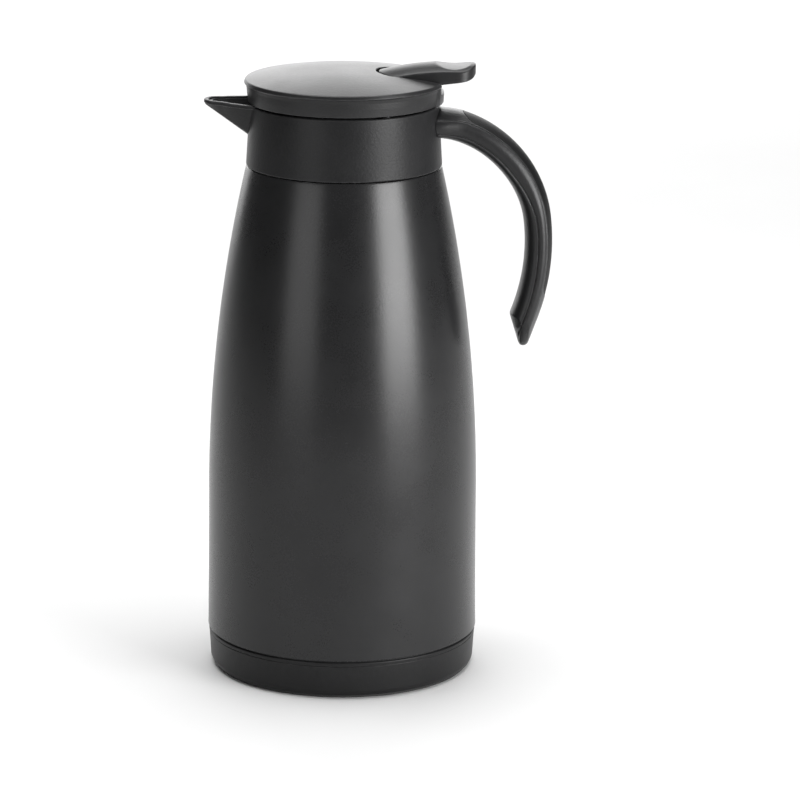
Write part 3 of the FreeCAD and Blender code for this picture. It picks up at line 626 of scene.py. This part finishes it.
def sweep(section, s_a, s_b, rows_mid, edge):
    """Closed solid along the handle, from the collar to the slanted end, with rounded end edges."""
    P = []
    sec_a, sec_b = section(s_a), section(s_b)
    st = [start_of(*q) for q in sec_a]
    for _ in range(4):
        st = [start_of(*section(s)[j]) for j, s in enumerate(st)]
    ca = np.mean(np.array(sec_a), 0)
    first = []
    for d in (0.0, 0.06, 0.16, 0.32, 0.55, 0.8):
        row = []
        for j in range(len(sec_a)):
            q = np.array(section(st[j] + d)[j])
            q = q + (ca - q) / np.linalg.norm(ca - q) * 0.8 * (1 - sqrt(1 - (1 - d / 0.8) ** 2))
            row.append((st[j] + d, q))
        first.append(row)
    for k in (1.0, 0.66, 0.33):
        P.append([point(start_of(*(q + (ca - q) * k)) - 0.05 * k, *(q + (ca - q) * k)) for _, q in first[0]])
    P += [[point(s, *q) for s, q in row] for row in first]
    for k in np.linspace(0, 1, 8)[1:-1]:
        row = []
        for j in range(len(sec_a)):
            s = st[j] + 0.8 + (s_a - st[j] - 0.8) * k
            row.append(point(s, *section(s)[j]))
        P.append(row)
    for s in rows_mid:
        P.append([point(s, *q) for q in section(s)])
    cb = np.array([0.0, np.mean([q[1] for q in sec_b])])
    g = parting(s_b)
    ed = [edge * (0.12 + 0.88 * float(smooth((abs(q[1] - g) - 0.1) / 1.6))) for q in sec_b]
    en = [end_of(*q) for q in sec_b]
    for k in np.linspace(0, 1, 9)[1:]:
        P.append([point(s_b + (en[j] - ed[j] * 1.3 - s_b) * k, *sec_b[j]) for j in range(len(sec_b))])
    for a in np.linspace(0, pi / 2, 6)[1:]:
        row = []
        for j, q in enumerate(sec_b):
            q = np.array(q)
            d = cb - q
            L = np.linalg.norm(d)
            q2 = q + d * min(0.9, ed[j] * (1 - cos(a)) / max(L, 1e-6))
            row.append(point(end_of(*q2) - ed[j] * 1.3 * (1 - sin(a)), *q2))
        P.append(row)
    for k in (0.3, 0.6, 0.85, 1.0):
        row = []
        for j, q in enumerate(sec_b):
            q = np.array(q)
            d = cb - q
            L = np.linalg.norm(d)
            q1 = q + d * min(0.9, ed[j] / max(L, 1e-6))
            q2 = q1 + (cb - q1) * k
            row.append(point(end_of(*q2), *q2))
        P.append(row)
    return Mesh().grid(P, False, True)


cos_rows = [1 - cos(a) for a in np.linspace(0, pi / 2, 16)]
s_mid = sorted(set(
    [round(v, 4) for v in np.arange(21.0, 127.0, 1.5)]
    + [round(IN_A - 0.3 + 6.9 * c, 4) for c in cos_rows] + [round(IN_A + 6.6 * c, 4) for c in cos_rows]
    + [round(IN_B + 0.3 - 6.9 * c, 4) for c in cos_rows] + [round(IN_B - 6.6 * c, 4) for c in cos_rows]))
piece(sweep(shell_section, 21.0, 126.9, s_mid, 0.45).obj("handle_outer"), "carafe", "black_plastic", PLASTIC, "handle_shell", angle=40)
piece(sweep(belly_section, 22.0, 125.0, list(np.arange(22.0, 124.9, 2.0)) + [125.0], 0.4).obj("handle_belly"), "carafe", "black_plastic", PLASTIC, "handle_inner", angle=40)


def strip():
    """Inlay: crowned strip with round ends, let into the spine and a little below its edges."""
    a, b, w, e = IN_A + 0.2, IN_B - 0.2, IN_W - 0.2, IN_R - 0.2
    ends = [e * c for c in cos_rows]
    ss = sorted([a + v for v in ends] + [b - v for v in ends] + list(np.arange(a + e + 1.5, b - e - 0.7, 1.5)))
    low, r = 0.16, 0.45
    rows = []
    for s in ss:
        y = max(0.04, arch(s, a - 1e-6, b + 1e-6, e, w))
        row = [(0.0, crown(0.0, s) - DEEP + 0.03), (y * 0.5, crown(y * 0.5, s) - DEEP + 0.03), (y, crown(y, s) - DEEP + 0.03), (y, crown(y, s) - low - r)]
        for t in np.linspace(0, pi / 2, 5)[1:]:
            yy = max(y * 0.3, y - r * (1 - cos(t)))
            row.append((yy, crown(yy, s) - low - r + r * sin(t)))
        yi = row[-1][0]
        for k in (0.8, 0.6, 0.4, 0.2, 0.0):
            row.append((yi * k, crown(yi * k, s) - low))
        rows.append([point(s, *q) for q in row + [(-q, n) for q, n in reversed(row[1:-1])]])
    m = Mesh().grid(rows, False, True)
    return m.poly(rows[0]).poly(rows[-1])


piece(strip().obj("handle_strip"), "carafe", "inlay_plastic", INLAY, "handle_inlay", angle=40)


# ------------------------------------------------------------------------- lid
def dome(r):
    return 54.604 + sqrt(235.0 ** 2 - min(r, 60.0) ** 2)


def pad(r, z, t):
    """Thicker stretch of the skirt below the lever."""
    if r < 44.6 or cos(t) < 0.5 or z > 283.0:
        return r
    y = r * sin(t)
    w = float(smooth((16.2 - abs(y)) / 2.6))
    out = 46.75 - max(0.0, 275.1 - z) * 0.8
    return r + max(0.0, out - r) * w


lid_top = [(r, dome(r)) for r in list(np.linspace(0.0, 44.8, 46))]
rim_p = rounded([(44.8, dome(44.8), 0), (46.55, dome(46.55), 1.0), (47.12, 283.3, 0.35), (46.25, 282.7, 0.5), (45.95, 281.2, 2.0), (45.7, 278.4, 4.0),
                 (45.2, 274.6, 0.35), (43.0, 274.6, 0.3), (43.4, 279.0, 0.0), (43.9, 282.6, 0.8), (42.0, dome(42.0) - 2.2, 0)], 6)[1:]
lid_in = [(r, dome(r) - 2.2) for r in np.linspace(41.0, 0.0, 24)]
profile = lid_top + [tuple(p) for p in rim_p] + lid_in
fine_l = np.concatenate([np.radians(np.arange(-21.0, 21.01, 0.75)), np.radians(np.arange(22.5, 338.0, 1.5))])
lid = lathe(profile, thetas=fine_l, shape=pad).obj("lid_dome")


def channel(off, x_end):
    """Plan of the lever's channel: round nose, straight sides, open to the handle side."""
    c, r = 29.09, 14.39 + off
    hw = 12.1 + off
    a1 = pi - np.arcsin(min(1, hw / r))
    pts = [(c + r * cos(a), r * sin(a)) for a in np.linspace(a1, 2 * pi - a1, 41)]
    x1 = pts[0][0]
    up = [(x, hw) for x in np.linspace(x_end, x1, 30)[:-1]]
    return up + pts + [(x, -y) for x, y in reversed(up)]


block = box(17.0, 44.4, -14.2, 14.2, 277.4, 284.2).obj("block")
boolean(lid, block, "UNION")
nose = prism([(x, y) for x, y in channel(2.1, 30.0)], 277.4, 286.5, Z).obj("nose_wall")
boolean(lid, nose, "UNION")

R = 0.6
levels = [(0.0, None)] + [(R - R * cos(a), -R + R * sin(a)) for a in np.linspace(0.0, radians(72), 8)]
rows = [[(x, y, 279.0) for x, y in channel(0.0, 56.0)]]
for o, h in levels[1:]:
    rows.append([(x, y, max(279.4, dome(hypot(x, y)) + h)) for x, y in channel(o, 56.0)])
o = levels[-1][0]
rows.append([(x, y, 296.0) for x, y in channel(o + 0.5, 56.0)])
m = Mesh().grid(rows, False, True)
m.poly(rows[0]).poly(rows[-1])
boolean(lid, m.obj("channel_cut"), "DIFFERENCE")
boolean(lid, box(13.5, 29.5, -12.05, 12.05, 270.0, 279.6).obj("well_cut"), "DIFFERENCE")
boolean(lid, box(6.0, 18.6, -8.0, 8.0, 270.0, 285.5).obj("fork_cut"), "DIFFERENCE")
piece(lid, "lid", "satin_plastic", SATIN, "lid_cover", angle=30)


# ----------------------------------------------------------------------- lever
def crest(x):
    return 293.25 - 126.0 + sqrt(126.0 ** 2 - (x - 49.0) ** 2)


under = np.array([(15.0, 287.0), (15.8, 286.6), (18.8, 278.4), (20.0, 277.7), (27.6, 277.7), (31.0, 281.7), (45.4, 284.1), (53.0, 285.0), (57.0, 285.55), (59.3, 286.2), (60.6, 286.95), (61.3, 287.7), (62.2, 289.0)])


def lever_plan(n_side=40, n_arc=36):
    """Plan outline of the lever, counter-clockwise from the tip."""
    pts = []
    c = 16.0 + 13.42
    a1 = np.arcsin(11.5 / 13.42)
    # end of the lever: a wide arc between two corner arcs
    tip = [(51.8 + (61.5 - 51.8) * cos(a) ** 0.8, 11.5 * sin(a) ** 0.92) for a in np.linspace(0, pi / 2, n_arc)]
    pts += tip
    pts += [(x, 11.5) for x in np.linspace(51.8, c - 13.42 * cos(a1), n_side)[1:]]
    pts += [(c - 13.42 * cos(a), 13.42 * sin(a)) for a in np.linspace(a1, 0, 20)[1:]]
    return pts + [(x, -y) for x, y in reversed(pts[1:-1])]


def lever_top(x, y):
    z = crest(x) - (22.9 - sqrt(max(22.9 ** 2 - y * y, 0)))
    d = 26.0 ** 2 - (x - 51.4) ** 2
    if d > 0:
        sc = 317.5 - sqrt(d) - y * y / 210.0
        k = 0.05
        z = -k * np.log(np.exp(-(z - 290) / k) + np.exp(-(sc - 290) / k)) + 290
    return float(z)


out = lever_plan()
spine = [(min(50.0, max(27.0, x)), 0.0) for x, y in out]
fil = 0.75
ts, rows = [], []
for (x, y), (a, b) in zip(out, spine):
    ts.append(hypot(x - a, y - b))


def ring(d):
    r = []
    for (x, y), (a, b), L in zip(out, spine, ts):
        k = min(1.0, d / L)
        r.append((x + (a - x) * k, y + (b - y) * k))
    return r


rows.append([(x, y, float(np.interp(x, under[:, 0], under[:, 1])) + 0.3) for x, y in ring(0.0)])
mid = [(x, y, lever_top(*q) - fil) for (x, y), q in zip(ring(0.0), ring(fil))]
for k in (0.33, 0.66):
    rows.append([(p[0], p[1], p[2] + (q[2] - p[2]) * k) for p, q in zip(rows[0], mid)])
for a in np.linspace(0, pi / 2, 8):
    d = fil * (1 - cos(a))
    rows.append([(x, y, lever_top(x, y) - fil * (1 - sin(a))) for x, y in ring(d)])
for d in np.concatenate([np.linspace(fil, 10.9, 46)[1:], [11.2, 11.5, 20.0]]):
    rows.append([(x, y, lever_top(x, y)) for x, y in ring(d)])
m = Mesh()
m.grid(rows, False, True)
low_rows = [rows[0]]
for d in np.concatenate([[0.3], np.linspace(0.8, 11.3, 16), [20.0]]):
    low_rows.append([(x, y, float(np.interp(x, under[:, 0], under[:, 1]))) for x, y in ring(d)])
m.grid(low_rows, False, True)
lever = m.obj("thumb_lever")


def disc(x, z, r, n=40, a0=0.0, a1=2 * pi):
    return [(x + r * cos(a), z + r * sin(a)) for a in np.linspace(a0, a1, n, endpoint=a1 - a0 < 6)]


arm = disc(0.0, 279.8, 2.45, 22, pi / 2, 3 * pi / 2)
arm = [(x - 0.6, z) for x, z in arm] + [(20.5, 277.4), (20.5, 283.4), (17.5, 283.4), (8.0, 282.25)]
slot = [(x - 0.6, z) for x, z in disc(0.0, 279.8, 1.62, 16, pi / 2, 3 * pi / 2)] + [(x + 0.6, z) for x, z in disc(0.0, 279.8, 1.62, 16, -pi / 2, pi / 2)]
for sg in (1, -1):
    lo, hi = sorted((3.8 * sg, 6.8 * sg))
    a = prism(arm, lo, hi, Y).obj("arm")
    boolean(a, prism(slot, lo - 1, hi + 1, Y).obj("slot"), "DIFFERENCE")
    boolean(lever, a, "UNION")
boolean(lever, prism(disc(24.0, 281.5, 2.06), -14.0, 14.0, Y).obj("bore"), "DIFFERENCE")
piece(lever, "lever", "satin_plastic", SATIN, "lever", angle=34)


# ---------------------------------------------------------------------- spring
def coil(r, wire, z0, z1, turns, shut=1.25):
    """Wire coil with its end turns closed, shortened with the valve's travel."""
    ts = np.linspace(0.0, turns, int(turns * 44) + 1)
    opened = smooth((np.minimum(ts, turns - ts) - 0.7) / 0.5)
    mean = float(np.mean((opened[1:] + opened[:-1]) / 2))
    pitch = shut + opened * ((z1 - z0) / turns - shut) / mean
    z = z0 + np.concatenate([[0.0], np.cumsum((pitch[1:] + pitch[:-1]) / 2 * np.diff(ts))])
    rows = []
    for k, t in enumerate(ts):
        a = 2 * pi * t
        n = np.array([cos(a), sin(a), 0.0])
        d = np.array([-2 * pi * r * sin(a), 2 * pi * r * cos(a), pitch[k]])
        b = np.cross(d / np.linalg.norm(d), n)
        c = np.array([r * cos(a), r * sin(a), z[k]])
        rows.append([c + wire * (cos(u) * n + sin(u) * b) for u in np.linspace(0, 2 * pi, 15)[:-1]])
    m = Mesh().grid(rows, False, True)
    return m.poly(rows[0]).poly(rows[-1])


spring = piece(coil(7.4, 0.6, 247.5, 271.5, 6.5).obj("closing_spring"), "lid", "steel", SPRING, "valve_spring", angle=50, weighted=False)
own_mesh(spring)


# ------------------------------------------------------- finish on the CAD nodes
finish = {
    "inner_flask": STEEL, "shell_bottom": STEEL, "vacuum_plug": GLASS, "getter": GETTER, "neck_gasket": SILICONE,
    "thread_sleeve": DARK, "handle_screws": STEEL, "stopper_body": DARK, "guide_plate": DARK, "stem_seal": SILICONE,
    "lid_screws": SCREW, "lever_pin": STEEL, "valve_spring": SPRING, "stopper_gasket": SILICONE, "valve_stem": DARK,
    "valve_seal": SILICONE, "link_pin": STEEL,
    "outer_shell": PAINT, "base_cup": SHADED_BASE, "foot_ring": RUBBER, "neck_collar": COLLAR, "handle_shell": PLASTIC,
    "handle_inner": PLASTIC, "handle_inlay": INLAY, "lid_cover": SATIN, "lever": SATIN,
}
for name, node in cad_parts.items():
    node.data.materials.clear()
    node.data.materials.append(finish[name])


# ----------------------------------------------------------------------- stage
fl = Mesh()
fl.grid([[(9000 * k * cos(t), 9000 * k * sin(t), 0.0) for t in np.linspace(0, 2 * pi, 65)[:-1]] for k in (0.0, 0.05, 0.2, 0.5, 1.0)], False, True)
floor = fl.obj("floor")
sh = Shader("pale_floor")
sh.put(Base_Color=sh.mix(sh.noise(6.0, 3.0, 0.5), (0.70, 0.70, 0.70), (0.73, 0.73, 0.73)), Roughness=0.85, Specular_IOR_Level=0.2)
floor.data.materials.append(sh.mat)

world = bpy.data.worlds.new("studio")
bpy.context.scene.world = world
world.use_nodes = True
wt = world.node_tree
wt.nodes.clear()
wo = wt.nodes.new("ShaderNodeOutputWorld")
bg = wt.nodes.new("ShaderNodeBackground")
bg.inputs["Color"].default_value = (0.02, 0.02, 0.02, 1.0)
bg.inputs["Strength"].default_value = 1.0
wt.links.new(bg.outputs[0], wo.inputs[0])


def panel(name, at, to, sx, sy, radiance):
    """Rectangular soft light of a given radiance."""
    d = bpy.data.lights.new(name, "AREA")
    d.shape, d.size, d.size_y = "RECTANGLE", sx, sy
    d.energy = radiance * pi * sx * sy
    ob = bpy.data.objects.new(name, d)
    bpy.context.scene.collection.objects.link(ob)
    ob.location = at
    ob.rotation_euler = (Vector(to) - Vector(at)).to_track_quat("-Z", "Y").to_euler()
    ob.visible_camera = False
    return ob


def around(az, dist, z):
    """Point at an angle to the right of the line from the object to the camera."""
    return (dist * sin(radians(az)), -dist * cos(radians(az)), z)


panel("above", (0.0, 0.1, 1.4), (0.0, 0.1, 0.0), 1.4, 0.8, 7.5)
panel("above_far", (0.0, 2.5, 1.4), (0.0, 2.5, 0.0), 1.8, 2.0, 3.15)
panel("back_low", (0.0, 3.4, 0.35), (0.0, 0.0, 0.35), 3.0, 0.7, 2.3)
panel("back_high", (0.0, 3.4, 1.1), (0.0, 0.0, 1.1), 3.0, 0.8, 3.5)
panel("back_left", around(-150, 2.4, 0.45), (0.0, 0.0, 0.45), 0.8, 0.9, 2.1)
panel("right", around(52, 1.6, 0.40), (0.0, 0.0, 0.40), 0.90, 0.72, 16.5)
panel("left", around(-40, 1.6, 0.40), (0.0, 0.0, 0.40), 0.86, 0.72, 2.85)

# ---------------------------------------------------------------------- camera
cam_d = bpy.data.cameras.new("camera")
cam_d.sensor_fit, cam_d.sensor_width = "HORIZONTAL", 36.0
cam_d.lens = 36.0 * 4239.64 / 800.0
cam_d.clip_start, cam_d.clip_end = 0.05, 50.0
cam = bpy.data.objects.new("camera", cam_d)
bpy.context.scene.collection.objects.link(cam)
pitch, yaw, roll = radians(14.723), radians(0.797), radians(0.484)
fw = Vector((sin(yaw) * cos(pitch), cos(yaw) * cos(pitch), -sin(pitch)))
rt = fw.cross(Vector((0, 0, 1))).normalized()
up = rt.cross(fw)
r2 = rt * cos(roll) + up * sin(roll)
u2 = up * cos(roll) - rt * sin(roll)
cam.matrix_world = Matrix(((r2.x, u2.x, -fw.x, 0.0), (r2.y, u2.y, -fw.y, -1.9592), (r2.z, u2.z, -fw.z, 0.6442), (0, 0, 0, 1)))
bpy.context.scene.camera = cam
bpy.context.scene.view_settings.view_transform = "Standard"
